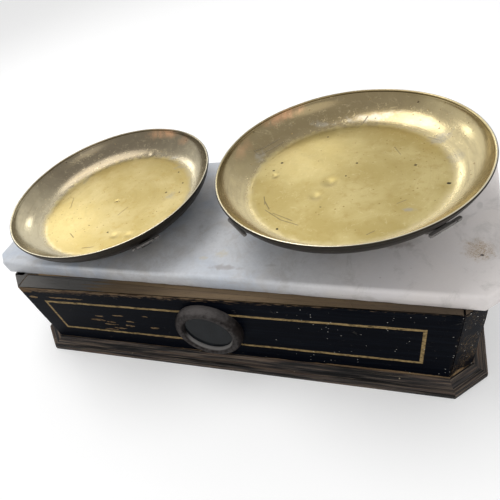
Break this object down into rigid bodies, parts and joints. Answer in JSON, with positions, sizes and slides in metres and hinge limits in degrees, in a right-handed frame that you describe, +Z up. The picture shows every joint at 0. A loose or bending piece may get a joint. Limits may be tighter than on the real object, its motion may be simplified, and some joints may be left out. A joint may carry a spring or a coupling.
{
  "type": "torsion prescription balance",
  "caption": "Counter balance: two brass pans on iron spiders over a marble slab on a black wooden case with a round window, which hides a coupled beam pair.",
  "frame": {"origin": "centre of the case's footprint, on its underside", "axes": "+X from the left pan to the right pan, seen from the window side; -Y out of the window; +Z up"},
  "size_m": [0.4676, 0.213, 0.1626],
  "materials": {
    "black_paint": "worn black paint over wood, bare wood at the edges",
    "bare_wood": "unfinished, darkened",
    "plinth_paint": "thin dark paint, worn through to the wood in streaks",
    "marble": "honed, with faint grey clouds",
    "pan_brass": "worn satin, with dents and pits",
    "nut_brass": "turned",
    "black_iron": "black japanned",
    "iron": "painted, dull",
    "spring_steel": "bright",
    "steel": "turned",
    "turned_wood": "dark stained, satin",
    "window_glass": "clear, a little grey",
    "card": "aged, with an engraved mark",
    "felt": "felt"
  },
  "bodies": {
    "case": {"front_board": "black_paint", "back_board": "black_paint", "left_end_board": "black_paint", "right_end_board": "black_paint", "corner_posts": "black_paint", "top_board": "bare_wood", "floor_board": "bare_wood", "floor_screws": "steel", "plinth_front": "plinth_paint", "plinth_back": "plinth_paint", "plinth_left": "plinth_paint", "plinth_right": "plinth_paint", "plinth_corners": "plinth_paint", "marble_slab": "marble", "left_collar": "nut_brass", "right_collar": "nut_brass", "window_bezel": "turned_wood", "window_glass": "window_glass", "glass_retainer": "turned_wood", "index_plate": "card", "index_bracket": "iron", "bed_plate": "iron", "bed_screws": "steel", "stop_pads": "felt", "centre_stands": "iron", "centre_truss": "iron", "centre_band": "spring_steel", "centre_pins": "steel"},
    "upper_beam": {"upper_beam": "iron", "upper_clamps": "steel", "upper_screws": "steel", "pointer_arm": "steel", "pointer_needle": "steel", "poise_post": "steel", "sensitivity_poise": "nut_brass"},
    "lower_beam": {"lower_beam": "iron", "lower_clamps": "steel", "lower_screws": "steel"},
    "left_carrier": {"left_truss": "iron", "left_band": "spring_steel", "left_yoke": "iron", "left_pins": "steel", "left_stem": "steel", "left_spider": "black_iron", "left_set_screw": "steel"},
    "right_carrier": {"right_truss": "iron", "right_band": "spring_steel", "right_yoke": "iron", "right_pins": "steel", "right_stem": "steel", "right_spider": "black_iron", "right_set_screw": "steel"},
    "left_pan": {"left_pan": "pan_brass"},
    "right_pan": {"right_pan": "pan_brass"}
  },
  "joints": [
    {"name": "beam_tilt", "type": "hinge", "parent": "case", "child": "upper_beam", "pos_m": [0, 0, 0.05711], "axis": [0, 1, 0], "range_deg": [0, 8.92]},
    {"name": "lower_beam_tilt", "type": "hinge", "parent": "case", "child": "lower_beam", "pos_m": [0, 0, 0.03103], "axis": [0, 1, 0], "range_deg": [0, 8.92]},
    {"name": "left_carrier_rise", "type": "slide", "parent": "case", "child": "left_carrier", "axis": [0, 0, 1], "range_m": [0, 0.01759]},
    {"name": "right_carrier_fall", "type": "slide", "parent": "case", "child": "right_carrier", "axis": [0, 0, -1], "range_m": [0, 0.01759]},
    {"name": "left_pan_lift", "type": "slide", "parent": "left_carrier", "child": "left_pan", "axis": [0, 0, 1], "range_m": [0, 0.05]},
    {"name": "right_pan_lift", "type": "slide", "parent": "right_carrier", "child": "right_pan", "axis": [0, 0, 1], "range_m": [0, 0.05]}
  ],
  "couplings": [
    {"joint": "lower_beam_tilt", "follows": "beam_tilt", "ratio": 1},
    {"joint": "left_carrier_rise", "follows": "beam_tilt", "m_per_rad": 0.11289},
    {"joint": "right_carrier_fall", "follows": "beam_tilt", "m_per_rad": 0.11289}
  ]
}
